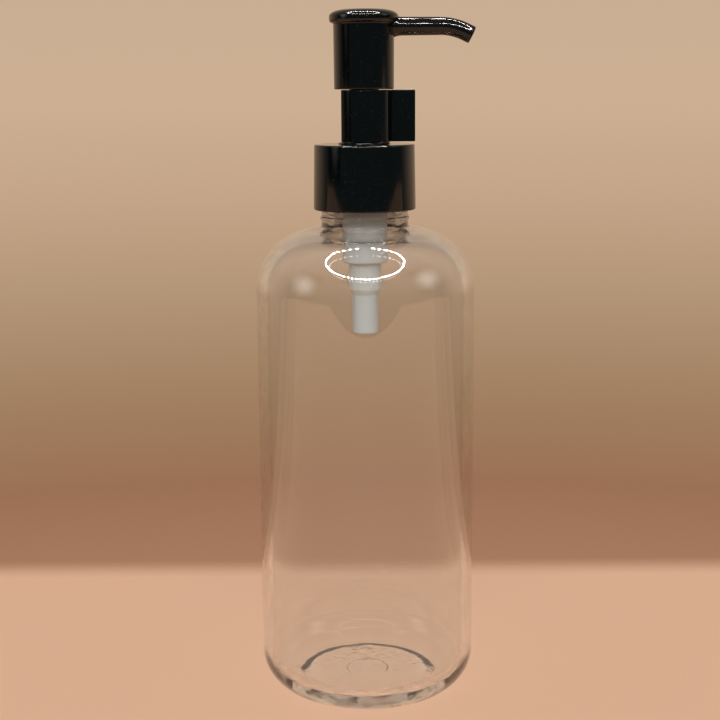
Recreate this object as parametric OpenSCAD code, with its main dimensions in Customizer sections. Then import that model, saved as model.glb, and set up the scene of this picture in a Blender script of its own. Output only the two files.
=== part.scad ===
// Clear bottle with a clip-locked lotion pump. Millimetres, +Z up.
// The origin is at the centre of the bottle's footprint, and the nozzle points along +X.

/* [Bottle] */
// Outer diameter of the bottle
bottle_od = 62.5; // [58:0.5:80]
// Thickness of the bottle's side wall
bottle_wall = 3.2; // [2.4:0.1:4]
// Height at which the straight side ends and the shoulder starts
shoulder_z = 118.2; // [90:0.1:160]
// Radius of the round shoulder
shoulder_r = 18; // [15:0.5:19]
// Slope of the shoulder where it meets the neck, in degrees
shoulder_slope = 14; // [10:1:20]
// Radius of the heel between the side and the foot
heel_r = 11; // [8:0.5:12]
// Inner radius of the ring that the bottle stands on
foot_inner_r = 20; // [16:0.5:20]
// Height of the hollow under the bottle
punt_h = 1.5; // [1:0.1:2]
// Radius of the round dimple at the middle of the hollow
dimple_r = 6.75; // [5:0.25:8]
// Thickness of the floor over the foot ring
floor_t = 4.6; // [4:0.1:6]

/* [Neck and thread] */
// Radius of the plain neck below the closure
neck_r = 12.35; // [11.5:0.05:13.5]
// Height of the plain neck
neck_h = 5.1; // [4.5:0.1:6]
// Depth of the thread
thread_depth = 1.05; // [0.95:0.05:1.15]
// Rise of the thread in one turn
thread_pitch = 3.175; // [3:0.025:3.2]
// Number of turns of the thread
thread_turns = 1.5; // [1.25:0.25:1.5]
// Thickness of the threaded neck's wall
neck_wall = 1.8; // [1.4:0.1:2.2]
// Height from the plain neck to the lip
finish_h = 14; // [11.5:0.25:18]

/* [Closure] */
// Thickness of the closure's wall at its top
closure_wall = 2.1; // [1.5:0.1:3]
// How much wider the closure's mouth is than its top, on the radius
closure_flare = 0.3; // [0:0.05:0.4]
// How far the closure comes down over the plain neck
closure_drop = 0.2; // [0:0.1:1]
// Thickness of the closure's top
closure_top_t = 1.6; // [1.2:0.1:2.2]
// Radius of the round edge around the closure's top
closure_edge_r = 0.4; // [0.3:0.1:1.2]
// Thickness of the gasket
gasket_t = 1.15; // [0.8:0.05:1.6]

/* [Pump housing] */
// Bore of the pump chamber, as a radius
chamber_r = 5.5; // [5.2:0.1:6.6]
// Wall of the upper barrel
barrel_wall = 0.85; // [0.7:0.05:1.2]
// Bore of the spring chamber, as a radius
spring_bore_r = 3.75; // [3.7:0.05:4.3]
// Wall of the lower barrel
valve_barrel_wall = 0.9; // [0.8:0.05:1.2]
// Bore of the tail that holds a dip tube, as a radius
dip_tube_r = 2.6; // [2.2:0.05:3.2]
// Wall of the tail
tail_wall = 1.15; // [0.9:0.05:1.4]
// Depth of the dip tube socket
dip_socket_h = 10.5; // [9:0.5:11]

/* [Plunger] */
// Travel of the pump
stroke = 14.2; // [11:0.2:18]
// Outer radius of the stem
stem_r = 4.2; // [3.9:0.05:4.6]
// Wall of the stem
stem_wall = 1.3; // [1.1:0.05:1.4]
// Free play of the piston on its rod, which opens the upper valve
valve_slip = 0.8; // [0.5:0.1:1]
// Length of the piston
piston_h = 6; // [5:0.2:8]
// Radius of the steel ball in the inlet valve
ball_r = 1.9; // [1.6:0.05:2]
// Lift of the steel ball
ball_lift = 1.2; // [0.8:0.1:1.5]
// Wire diameter of the spring
spring_wire = 0.6; // [0.5:0.05:0.65]
// Number of coils of the spring
spring_coils = 8; // [6:1:10]

/* [Head] */
// Radius of the head's side at its top
head_top_r = 8.5; // [8.4:0.05:8.8]
// Radius of the head's side at its foot
head_foot_r = 8.4; // [8.1:0.05:8.5]
// Height of the head
head_h = 21.7; // [18:0.1:27]
// Radius of the rim around the head's top
head_rim_r = 9.65; // [9.4:0.05:10]
// Wall of the head's skirt
head_wall = 1.3; // [1.1:0.1:1.5]

/* [Nozzle] */
// Radius of the nozzle where it leaves the head
nozzle_root_r = 2.55; // [2.5:0.05:2.7]
// Radius of the nozzle along its bend and tip
nozzle_r = 2.45; // [2.25:0.05:2.45]
// Bore of the nozzle, as a radius
nozzle_bore_r = 1.5; // [1.2:0.1:1.6]
// Distance from the head's axis to the start of the bend
nozzle_straight = 21.1; // [16:0.1:26]
// Radius of the bend
nozzle_bend_r = 16.5; // [15:0.5:18]
// Angle of the bend, in degrees
nozzle_bend = 26; // [20:1:30]
// Length of the straight tip
nozzle_tip = 2; // [2:0.1:2.5]

/* [Lock clip] */
// How much taller the clip is than the pump's travel
clip_spare = 0.1; // [0:0.1:1]
// Outer radius of the clip
clip_r = 7.85; // [7.4:0.05:8]
// Thickness of the clip's walls
clip_wall = 1.1; // [1:0.05:1.2]
// Half of the clip's mouth, in degrees, seen from its axis
clip_mouth = 34; // [28:1:38]
// Distance from the axis to the finger tab's outer edge
tab_reach = 14.3; // [13.5:0.1:16]
// Thickness of the finger tab
tab_t = 1.8; // [1.4:0.1:2.4]

/* [Clearances] */
// Gap between two surfaces that slide or turn on each other
running_gap = 0.05; // [0.03:0.01:0.08]
// Gap around a piece that is pressed or dropped into place
seat_gap = 0.02; // [0.01:0.01:0.03]
// Gap between the clip and the head and collar
clip_gap = 0.15; // [0.1:0.05:0.4]

/* [Hidden] */
$fn = 96;
eps = 0.01;
cut = 1;

// Colours
clear_colour = [0.82, 0.90, 0.92, 0.35];
black_colour = [0.045, 0.05, 0.05];
natural_colour = [0.93, 0.93, 0.90];
steel_colour = [0.72, 0.73, 0.75];

// Bottle
bottle_r = bottle_od / 2;
shoulder_centre_r = bottle_r - shoulder_r;
shoulder_end = 90 - shoulder_slope;
shoulder_end_r = shoulder_centre_r + shoulder_r * cos(shoulder_end);
shoulder_end_z = shoulder_z + shoulder_r * sin(shoulder_end);
neck_fillet = 0.9;
neck_z = shoulder_end_z + (shoulder_end_r - neck_r - neck_fillet) * tan(shoulder_slope);
neck_top_z = neck_z + neck_h;
lip_z = neck_top_z + finish_h;
thread_crest_r = neck_r - 0.5;
thread_root_r = thread_crest_r - thread_depth;
neck_bore_r = thread_root_r - neck_wall;
bead_r = neck_r + 0.35;
bead_h = 1.2;
bead_z = neck_z + 2.6;
inner_r = bottle_r - bottle_wall;
inner_heel_r = heel_r - bottle_wall;
inner_shoulder_r = shoulder_r - bottle_wall;
inner_end_r = shoulder_centre_r + inner_shoulder_r * cos(shoulder_end);
inner_end_z = shoulder_z + inner_shoulder_r * sin(shoulder_end);
inner_neck_z = inner_end_z + (inner_end_r - neck_bore_r) * tan(shoulder_slope);
dimple_h = 0.7;
foot_slope_w = 2.5;
arc_steps = 20;

// Thread
thread_steps = 36;
thread_fade = 4;
thread_root_w = 2;
thread_crest_w = 0.8;
closure_ridge_r = thread_root_r + 0.4;
thread_embed = 0.3;
thread_start_z = lip_z - 9;
closure_thread_start_z = thread_start_z - thread_pitch / 2;

// Stack over the lip, from the gasket up to the closure's top
flange_t = 1.2;
gasket_z = lip_z;
flange_z = gasket_z + gasket_t;
flange_top_z = flange_z + flange_t;
ceiling_z = flange_top_z + running_gap;
closure_top_z = ceiling_z + closure_top_t;
closure_z = neck_top_z - closure_drop;
closure_h = closure_top_z - closure_z;
closure_inner_r = thread_crest_r + 0.25;
closure_r = closure_inner_r + closure_wall;
closure_mouth_r = neck_r + 0.3;
closure_mouth_h = closure_drop + 1.4;
flange_r = closure_inner_r - 0.8;
gasket_r = flange_r - 0.3;
barrel_r = chamber_r + barrel_wall;
valve_barrel_r = spring_bore_r + valve_barrel_wall;
tail_r = dip_tube_r + tail_wall;
collar_neck_r = barrel_r + 0.05;
closure_hole_r = collar_neck_r + 0.2;

// Collar
collar_flange_r = collar_neck_r + 1;
collar_flange_t = 0.5;
collar_z = closure_top_z + running_gap;
collar_top_z = collar_z + collar_flange_t;
skirt_h = 5.6;
skirt_z = flange_top_z - skirt_h;

// Clip and head
clip_h = stroke + clip_spare;
clip_z = collar_top_z + clip_gap;
clip_top_z = clip_z + clip_h;
head_z = clip_top_z + clip_gap;
head_top_z = head_z + head_h;
rim_low_z = head_top_z - 3.6;
rim_low_edge_r = 1;
rim_wide_z = head_top_z - 1.9;
rim_flat_r = 5.4;
plate_z = head_top_z - 2.1;
dish_r = 5.2;
dish_h = 0.25;
nozzle_z = head_top_z - 4.6;
flare_start = 7;
flare_end = 10.8;
flare_r = 3.5;
hub_r = stem_r + 1.3;
hub_foot = 1.5;
rib_count = 6;
rib_t = 1;
rib_foot = 3;
stem_top_z = nozzle_z - 6.5;
passage_r = 2.2;
passage_top_z = nozzle_z + nozzle_bore_r + 0.2;
bend_swell = 0.03;
bend_overlap = 0.2;

// Moving inner pieces, from the piston down
stem_bore_r = stem_r - stem_wall;
rod_shaft_r = stem_bore_r - 0.9;
slip_room = 0.1;
piston_top_z = skirt_z - valve_slip - slip_room;
piston_z = piston_top_z - piston_h;
rod_flange_t = 1.2;
rod_flange_r = rod_shaft_r + 1.4;
rod_flange_z = piston_z - rod_flange_t;
rod_pilot_r = 2.1;
rod_pilot_h = 2;
rod_plug_r = stem_bore_r - running_gap;
rod_plug_z = skirt_z + 0.6;
rod_plug_h = 7;
rod_ridge_r = stem_bore_r + 0.2;
rod_ridge_h = 0.6;
rod_ridge_z = rod_plug_z + 3.5;
flute_count = 4;
flute_w = 1;
stem_z = skirt_z;
piston_hub_r = rod_shaft_r + 1.3;
piston_lip_h = 1.6;
piston_lip_t = 0.55;
piston_web_h = 1.6;

// Housing, from its foot up
spring_top_z = rod_flange_z;
spring_spare = 2;
spring_h = stroke + spring_coils * spring_wire + spring_spare;
spring_seat_z = spring_top_z - spring_h;
seat_top_r = spring_bore_r - 0.55;
seat_hole_r = ball_r - 0.7;
seat_h = seat_top_r - seat_hole_r;
ball_rise = (ball_r + seat_gap) * sqrt(2) - seat_hole_r;
ball_room = 0.18;
cage_top_t = 0.8;
cage_h = ball_rise - seat_h + ball_r + ball_lift + ball_room + cage_top_t;
cage_z = spring_seat_z - cage_h;
seat_z = cage_z - seat_h;
ball_z = seat_z + ball_rise;
inlet_h = 1.4;
socket_top_z = seat_z - inlet_h;
tail_z = socket_top_z - dip_socket_h;
valve_barrel_z = seat_z + 1;
valve_barrel_h = 7.8;
step_z = valve_barrel_z + valve_barrel_h;
chamber_z = step_z + 1;
tail_chamfer = 1.6;
vent_r = 0.6;
vent_z = flange_z - 2.2;

// Spring
spring_r = rod_flange_r - 0.45;
spring_steps = 12;
spring_sides = 8;

// Clip
clip_grip_r = stem_r + 0.1;
clip_grip_wall = 1;
clip_web_t = 1;
clip_rib_angles = [75, 285];
tab_edge_r = 2.2;
tab_root = clip_r - clip_wall / 2;

// Points of an arc in the r, z plane
function arc(cr, cz, r, from, to, steps = arc_steps) =
    [for (i = [0:steps]) let (a = from + (to - from) * i / steps) [cr + r * cos(a), cz + r * sin(a)]];

// Points of an upright ellipse's arc in the r, z plane
function ellipse_arc(cr, cz, rr, rz, from, to, steps = arc_steps) =
    [for (i = [0:steps]) let (a = from + (to - from) * i / steps) [cr + rr * cos(a), cz + rz * sin(a)]];

// A ring between two radii
module ring(outer, inner, h) {
    difference() {
        cylinder(r = outer, h = h);
        translate([0, 0, -cut])
            cylinder(r = inner, h = h + 2 * cut);
    }
}

// A right-hand thread ridge whose section runs from r_in to r_out, fading out towards fade_r at both ends
module thread(r_in, r_out, w_in, w_out, inward) {
    rings = round(thread_turns * thread_steps);
    function fade(i) = max(0.1, min(1, i / thread_fade, (rings - i) / thread_fade));
    function low_r(i) = inward ? r_out - (r_out - r_in) * fade(i) : r_in;
    function high_r(i) = inward ? r_out : r_in + (r_out - r_in) * fade(i);
    function at(r, i, dz) =
        let (a = 360 * i / thread_steps) [r * cos(a), r * sin(a), thread_pitch * i / thread_steps + dz];
    points = [for (i = [0:rings]) each [
        at(low_r(i), i, -w_in / 2),
        at(high_r(i), i, -w_out / 2),
        at(high_r(i), i, w_out / 2),
        at(low_r(i), i, w_in / 2)
    ]];
    sides = [for (i = [0:rings - 1]) for (j = [0:3])
        [4 * i + j, 4 * i + (j + 1) % 4, 4 * i + 4 + (j + 1) % 4, 4 * i + 4 + j]];
    ends = [[3, 2, 1, 0], [for (j = [0:3]) 4 * rings + j]];
    polyhedron(points = points, faces = concat(sides, ends), convexity = 6);
}

module bottle_outside() {
    rotate_extrude()
        polygon(concat(
            [[0, 0]],
            arc(bottle_r - heel_r, heel_r, heel_r, -90, 0),
            arc(shoulder_centre_r, shoulder_z, shoulder_r, 0, shoulder_end),
            arc(neck_r + neck_fillet, neck_z + neck_fillet, neck_fillet, 270 - shoulder_slope, 180, 6),
            [[neck_r, bead_z - bead_h / 2], [bead_r, bead_z - bead_h / 4], [bead_r, bead_z + bead_h / 4]],
            [[neck_r, bead_z + bead_h / 2], [neck_r, neck_top_z], [thread_root_r, neck_top_z + 0.8]],
            [[thread_root_r, lip_z - 0.5], [thread_root_r - 0.5, lip_z], [0, lip_z]]
        ));
}

module bottle_inside() {
    rotate_extrude()
        polygon(concat(
            [[0, floor_t + 0.8], [inner_r - inner_heel_r, floor_t]],
            arc(inner_r - inner_heel_r, floor_t + inner_heel_r, inner_heel_r, -90, 0),
            arc(shoulder_centre_r, shoulder_z, inner_shoulder_r, 0, shoulder_end),
            [[neck_bore_r, inner_neck_z], [neck_bore_r, lip_z + cut], [0, lip_z + cut]]
        ));
}

module bottle() {
    color(clear_colour) {
        difference() {
            bottle_outside();
            bottle_inside();
            // Hollow and dimple under the foot
            translate([0, 0, -eps])
                cylinder(r1 = foot_inner_r, r2 = foot_inner_r - foot_slope_w, h = punt_h + eps);
            cylinder(r1 = dimple_r, r2 = dimple_r - dimple_h, h = punt_h + dimple_h);
        }
        translate([0, 0, thread_start_z])
            thread(thread_root_r - thread_embed, thread_crest_r, thread_root_w, thread_crest_w, false);
    }
}

module closure() {
    color(black_colour) {
        difference() {
            translate([0, 0, closure_z])
                rotate_extrude()
                    polygon(concat(
                        [[0, 0], [closure_r + closure_flare - 0.2, 0], [closure_r + closure_flare, 0.2]],
                        arc(closure_r - closure_edge_r, closure_h - closure_edge_r, closure_edge_r, 0, 90, 8),
                        [[0, closure_h]]
                    ));
            translate([0, 0, closure_z - cut])
                cylinder(r = closure_mouth_r, h = closure_mouth_h + cut);
            translate([0, 0, closure_z])
                cylinder(r = closure_inner_r, h = ceiling_z - closure_z);
            translate([0, 0, closure_z])
                cylinder(r = closure_hole_r, h = closure_h + cut);
        }
        translate([0, 0, closure_thread_start_z])
            thread(closure_ridge_r, closure_inner_r + thread_embed, thread_crest_w, thread_root_w, true);
    }
}

module gasket() {
    color(natural_colour)
        translate([0, 0, gasket_z])
            ring(gasket_r, barrel_r + 0.3, gasket_t);
}

module pump_housing_outside() {
    translate([0, 0, flange_z])
        cylinder(r = flange_r, h = flange_t);
    translate([0, 0, step_z])
        cylinder(r = barrel_r, h = flange_top_z - step_z);
    translate([0, 0, valve_barrel_z])
        cylinder(r = valve_barrel_r, h = step_z - valve_barrel_z);
    translate([0, 0, valve_barrel_z - tail_chamfer])
        cylinder(r1 = tail_r, r2 = valve_barrel_r, h = tail_chamfer);
    translate([0, 0, tail_z])
        cylinder(r = tail_r, h = valve_barrel_z - tail_z);
}

module pump_housing() {
    color(natural_colour)
        difference() {
            pump_housing_outside();
            translate([0, 0, chamber_z])
                cylinder(r = chamber_r, h = flange_top_z - chamber_z + cut);
            translate([0, 0, cage_z])
                cylinder(r = spring_bore_r, h = chamber_z - cage_z + eps);
            translate([0, 0, seat_z])
                cylinder(r1 = seat_hole_r, r2 = seat_top_r, h = seat_h + eps);
            translate([0, 0, socket_top_z - eps])
                cylinder(r = seat_hole_r, h = inlet_h + 2 * eps);
            translate([0, 0, tail_z - cut])
                cylinder(r = dip_tube_r, h = dip_socket_h + cut);
            // Vent holes that let air back into the bottle
            for (side = [0, 180])
                rotate([0, 0, side])
                    translate([chamber_r - cut, 0, vent_z])
                        rotate([0, 90, 0])
                            cylinder(r = vent_r, h = barrel_r);
        }
}

module collar() {
    color(black_colour)
        difference() {
            union() {
                translate([0, 0, collar_z])
                    cylinder(r1 = collar_flange_r, r2 = collar_flange_r - 0.2, h = collar_flange_t);
                translate([0, 0, flange_top_z])
                    cylinder(r = collar_neck_r, h = collar_z - flange_top_z + eps);
                translate([0, 0, skirt_z])
                    cylinder(r = chamber_r - seat_gap, h = skirt_h + eps);
            }
            translate([0, 0, skirt_z - cut])
                cylinder(r = stem_r + running_gap, h = skirt_h + closure_top_t + collar_flange_t + 3 * cut);
        }
}

module stem() {
    color(black_colour)
        difference() {
            translate([0, 0, stem_z])
                cylinder(r = stem_r, h = stem_top_z - stem_z);
            translate([0, 0, stem_z - cut])
                cylinder(r = stem_bore_r, h = stem_top_z - stem_z + 2 * cut);
            // Groove that the rod's ridge snaps into
            translate([0, 0, rod_ridge_z - running_gap])
                cylinder(r = rod_ridge_r + running_gap, h = rod_ridge_h + 2 * running_gap);
        }
}

module piston_rod() {
    color(natural_colour)
        difference() {
            union() {
                translate([0, 0, rod_flange_z])
                    cylinder(r = rod_flange_r, h = rod_flange_t);
                translate([0, 0, rod_flange_z - rod_pilot_h])
                    cylinder(r1 = rod_pilot_r - 0.4, r2 = rod_pilot_r, h = rod_pilot_h);
                translate([0, 0, rod_flange_z])
                    cylinder(r = rod_shaft_r, h = rod_plug_z + rod_plug_h - rod_flange_z);
                translate([0, 0, rod_plug_z])
                    cylinder(r = rod_plug_r, h = rod_plug_h - 1);
                translate([0, 0, rod_ridge_z])
                    cylinder(r = rod_ridge_r, h = rod_ridge_h);
            }
            // Flutes that carry the soap past the piston and up into the stem
            for (i = [0:flute_count - 1])
                rotate([0, 0, 360 * i / flute_count])
                    translate([rod_shaft_r - 0.7, -flute_w / 2, piston_z + 0.5])
                        cube([rod_ridge_r, flute_w, rod_plug_z + rod_plug_h - piston_z]);
        }
}

module piston() {
    piston_r = chamber_r - running_gap;
    web_z = piston_z + (piston_h - piston_web_h) / 2;
    color(natural_colour) {
        translate([0, 0, piston_z + seat_gap])
            ring(piston_hub_r, rod_shaft_r + running_gap, piston_h - seat_gap);
        translate([0, 0, web_z])
            ring(piston_r - 0.3, piston_hub_r - eps, piston_web_h);
        // Upper and lower sealing lips
        for (z = [web_z + piston_web_h / 2, piston_z + seat_gap])
            translate([0, 0, z])
                ring(piston_r - 0.3, piston_r - 0.3 - piston_lip_t, piston_top_z - web_z - piston_web_h / 2);
        for (z = [piston_top_z - piston_lip_h, piston_z + seat_gap])
            translate([0, 0, z])
                ring(piston_r, piston_r - 0.3 - piston_lip_t, piston_lip_h);
    }
}

module spring() {
    wire_r = spring_wire / 2;
    dead = spring_wire * 1.02;
    // Height of the wire's centre after t turns: one closed turn at each end
    function wire_z(t) =
        t < 1 ? wire_r + dead * t :
        t > spring_coils - 1 ? spring_h - wire_r - dead * (spring_coils - t) :
        wire_r + dead + (t - 1) * (spring_h - 2 * wire_r - 2 * dead) / (spring_coils - 2);
    rings = spring_coils * spring_steps;
    points = [for (i = [0:rings]) for (j = [0:spring_sides - 1])
        let (a = 360 * i / spring_steps, b = 360 * j / spring_sides, r = spring_r + wire_r * cos(b))
        [r * cos(a), r * sin(a), spring_seat_z + wire_z(i / spring_steps) + wire_r * sin(b)]];
    sides = [for (i = [0:rings - 1]) for (j = [0:spring_sides - 1]) let (k = (j + 1) % spring_sides)
        [spring_sides * i + j, spring_sides * i + k, spring_sides * (i + 1) + k, spring_sides * (i + 1) + j]];
    ends = [
        [for (j = [spring_sides - 1:-1:0]) j],
        [for (j = [0:spring_sides - 1]) spring_sides * rings + j]
    ];
    color(steel_colour)
        polyhedron(points = points, faces = concat(sides, ends), convexity = 10);
}

module ball_cage() {
    color(natural_colour)
        difference() {
            translate([0, 0, cage_z])
                cylinder(r = spring_bore_r - seat_gap, h = cage_h);
            translate([0, 0, cage_z - cut])
                cylinder(r = ball_r + 0.4, h = cage_h - cage_top_t + cut);
            translate([0, 0, cage_z])
                cylinder(r = seat_hole_r, h = cage_h + cut);
            // Slots that let the soap past the ball
            for (i = [0:2])
                rotate([0, 0, 120 * i])
                    translate([0, -0.6, cage_z + cage_h / 3])
                        cube([ball_r + 0.7, 1.2, cage_h]);
        }
}

module inlet_ball() {
    color(steel_colour)
        translate([0, 0, ball_z])
            sphere(r = ball_r);
}

// The nozzle's path as a solid or as its bore: straight, bend and tip, the bend a little fatter where they meet
module nozzle_path(r_start, r_end, from, extra) {
    translate([from, 0, nozzle_z])
        rotate([0, 90, 0])
            cylinder(r1 = r_start, r2 = r_end, h = nozzle_straight - from + bend_overlap);
    translate([nozzle_straight, 0, nozzle_z - nozzle_bend_r])
        rotate([90, 0, 0])
            rotate([0, 0, 90 - nozzle_bend])
                rotate_extrude(angle = nozzle_bend)
                    translate([nozzle_bend_r, 0])
                        circle(r = r_end + bend_swell);
    translate([nozzle_straight, 0, nozzle_z - nozzle_bend_r])
        rotate([0, nozzle_bend, 0])
            translate([-bend_overlap, 0, nozzle_bend_r])
                rotate([0, 90, 0])
                    cylinder(r = r_end, h = nozzle_tip + bend_overlap + extra);
}

module head_shell() {
    difference() {
        rotate_extrude()
            polygon(concat(
                [[0, head_z], [head_foot_r - 0.2, head_z], [head_foot_r, head_z + 0.2], [head_top_r, rim_low_z]],
                arc(head_rim_r - rim_low_edge_r, rim_low_z + rim_low_edge_r, rim_low_edge_r, -90, 0, 8),
                ellipse_arc(rim_flat_r, rim_wide_z, head_rim_r - rim_flat_r, head_top_z - rim_wide_z, 0, 90),
                [[dish_r, head_top_z], [dish_r - 1.5, head_top_z - dish_h], [0, head_top_z - dish_h]]
            ));
        translate([0, 0, head_z - cut])
            cylinder(r1 = head_foot_r - head_wall, r2 = head_top_r - head_wall, h = plate_z - head_z + cut);
    }
}

module pump_head() {
    color(black_colour)
        difference() {
            union() {
                head_shell();
                translate([0, 0, head_z + hub_foot])
                    cylinder(r = hub_r, h = plate_z - head_z - hub_foot + eps);
                for (i = [0:rib_count - 1])
                    rotate([0, 0, 360 * (i + 0.5) / rib_count])
                        translate([hub_r - 0.3, -rib_t / 2, head_z + rib_foot])
                            cube([head_foot_r - hub_r - 0.3, rib_t, plate_z - head_z - rib_foot + eps]);
                nozzle_path(nozzle_root_r, nozzle_r, hub_r - 1, 0);
                translate([flare_start, 0, nozzle_z])
                    rotate([0, 90, 0])
                        cylinder(r1 = flare_r, r2 = nozzle_root_r, h = flare_end - flare_start);
            }
            translate([0, 0, head_z - cut])
                cylinder(r = stem_r + seat_gap, h = stem_top_z - head_z + cut);
            translate([0, 0, stem_top_z - eps])
                cylinder(r = passage_r, h = passage_top_z - stem_top_z + eps);
            nozzle_path(nozzle_bore_r, nozzle_bore_r, 0, cut);
        }
}

// The wedge that opens the clip's mouth towards -X
module clip_mouth_cut() {
    reach = 3 * clip_r;
    translate([0, 0, clip_z - cut])
        linear_extrude(height = clip_h + 2 * cut)
            polygon([
                [0, 0],
                [-reach * cos(clip_mouth), reach * sin(clip_mouth)],
                [-reach * cos(clip_mouth), -reach * sin(clip_mouth)]
            ]);
}

module lock_clip() {
    grip_outer_r = clip_grip_r + clip_grip_wall;
    color(black_colour)
        difference() {
            union() {
                translate([0, 0, clip_z])
                    ring(clip_r, clip_r - clip_wall, clip_h);
                translate([0, 0, clip_z])
                    ring(grip_outer_r, clip_grip_r, clip_h);
                // Web and ribs that join the two walls
                translate([0, 0, clip_z + (clip_h - clip_web_t) / 2])
                    ring(clip_r - clip_wall / 2, grip_outer_r - clip_grip_wall / 2, clip_web_t);
                for (a = clip_rib_angles)
                    rotate([0, 0, a])
                        translate([grip_outer_r - 0.2, -clip_web_t / 2, clip_z])
                            cube([clip_r - clip_wall - grip_outer_r + 0.4, clip_web_t, clip_h]);
                for (side = [-1, 1])
                    rotate([0, 0, 180 + side * (clip_mouth + 7)])
                        translate([grip_outer_r - 0.2, -clip_web_t / 2, clip_z])
                            cube([clip_r - clip_wall - grip_outer_r + 0.4, clip_web_t, clip_h]);
                // Finger tab
                translate([tab_root, -tab_t / 2, clip_z])
                    cube([tab_reach - tab_root, tab_t, clip_h]);
            }
            clip_mouth_cut();
        }
}

bottle();
closure();
gasket();
pump_housing();
collar();
stem();
piston_rod();
piston();
spring();
ball_cage();
inlet_ball();
pump_head();
lock_clip();
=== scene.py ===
"""The looks of a clear soap bottle with a clip-locked pump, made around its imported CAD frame."""

import math

import bmesh
import bpy
from bpy.props import FloatProperty, FloatVectorProperty, IntProperty, PointerProperty
from mathutils import Matrix, Vector


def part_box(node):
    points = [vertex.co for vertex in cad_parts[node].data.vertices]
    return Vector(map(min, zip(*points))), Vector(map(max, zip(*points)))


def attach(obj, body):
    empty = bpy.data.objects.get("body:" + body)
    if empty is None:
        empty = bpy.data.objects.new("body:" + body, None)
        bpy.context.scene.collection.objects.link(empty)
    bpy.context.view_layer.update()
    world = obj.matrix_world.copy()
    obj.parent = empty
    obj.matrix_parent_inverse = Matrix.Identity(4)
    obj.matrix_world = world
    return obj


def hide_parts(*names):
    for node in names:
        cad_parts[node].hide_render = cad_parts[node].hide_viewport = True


bl_info = {
    "name": "Clip-lock soap bottle",
    "version": (1, 0, 0),
    "blender": (4, 5, 0),
    "location": "3D View > Sidebar > Soap Bottle",
    "description": "Makes the finished pieces of a clear soap bottle and its lotion pump",
    "category": "Add Mesh",
}

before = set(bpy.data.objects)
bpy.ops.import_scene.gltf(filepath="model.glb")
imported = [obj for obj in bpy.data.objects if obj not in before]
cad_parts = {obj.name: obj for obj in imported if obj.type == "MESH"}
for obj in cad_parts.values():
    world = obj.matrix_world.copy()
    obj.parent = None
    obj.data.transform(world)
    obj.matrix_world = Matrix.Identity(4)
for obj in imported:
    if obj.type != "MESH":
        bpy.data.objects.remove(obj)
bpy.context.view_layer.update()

MM = 0.001
AXIS_R = 0.01 * MM  # radius of the small circle that a turned outline is swept along
TURN = 2 * math.pi
FINE_ANGLE = math.radians(9)  # longest step of an arc, as an angle
FINE_STEP = 0.6 * MM  # longest step of an arc, as a length
THREAD_DROP = 9 * MM  # how far under the lip the neck's thread starts
HELIX_STEPS = 48  # points in one turn of a helix


def low(node):
    """Height of a CAD node's lowest point."""
    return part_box(node)[0][2]


def high(node):
    """Height of a CAD node's highest point."""
    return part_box(node)[1][2]


def radius(node):
    """Radius of a turned CAD node."""
    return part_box(node)[1][1]


# Settings


class BottleSettings(bpy.types.PropertyGroup):
    """Sizes of the clear bottle."""

    wall: FloatProperty(
        name="Wall", description="Thickness of the side wall", default=3.2 * MM, unit="LENGTH"
    )
    floor: FloatProperty(
        name="Floor", description="Thickness of the floor over the foot ring", default=4.6 * MM, unit="LENGTH"
    )
    floor_crown: FloatProperty(
        name="Floor crown", description="Rise of the floor at its middle", default=0.8 * MM, unit="LENGTH"
    )
    heel: FloatProperty(
        name="Heel radius", description="Radius between side and foot", default=11 * MM, unit="LENGTH"
    )
    shoulder: FloatProperty(
        name="Shoulder radius", description="Radius of the round shoulder", default=18 * MM, unit="LENGTH"
    )
    slope: FloatProperty(
        name="Shoulder slope", description="Slope where the shoulder meets the neck",
        default=math.radians(14), subtype="ANGLE",
    )
    neck: FloatProperty(
        name="Neck radius", description="Radius of the plain neck", default=12.35 * MM, unit="LENGTH"
    )
    neck_height: FloatProperty(
        name="Neck height", description="Height of the plain neck", default=5.1 * MM, unit="LENGTH"
    )
    bead: FloatProperty(
        name="Bead", description="How far the neck's bead stands out", default=0.35 * MM, unit="LENGTH"
    )
    bore: FloatProperty(
        name="Neck bore", description="Radius of the neck's bore", default=9 * MM, unit="LENGTH"
    )
    finish: FloatProperty(
        name="Threaded height", description="Height from the plain neck to the lip",
        default=14 * MM, unit="LENGTH",
    )
    punt: FloatProperty(
        name="Punt", description="Height of the hollow under the foot", default=1.5 * MM, unit="LENGTH"
    )
    dimple: FloatProperty(
        name="Dimple radius", description="Radius of the dimple under the foot",
        default=6.3 * MM, unit="LENGTH",
    )
    thread_root: FloatProperty(
        name="Thread root", description="Radius of the threaded neck between its turns",
        default=10.8 * MM, unit="LENGTH",
    )
    thread_pitch: FloatProperty(
        name="Thread pitch", description="Rise of the thread in one turn", default=3.175 * MM, unit="LENGTH"
    )
    thread_turns: FloatProperty(name="Thread turns", description="Turns of the thread", default=1.5)


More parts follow.
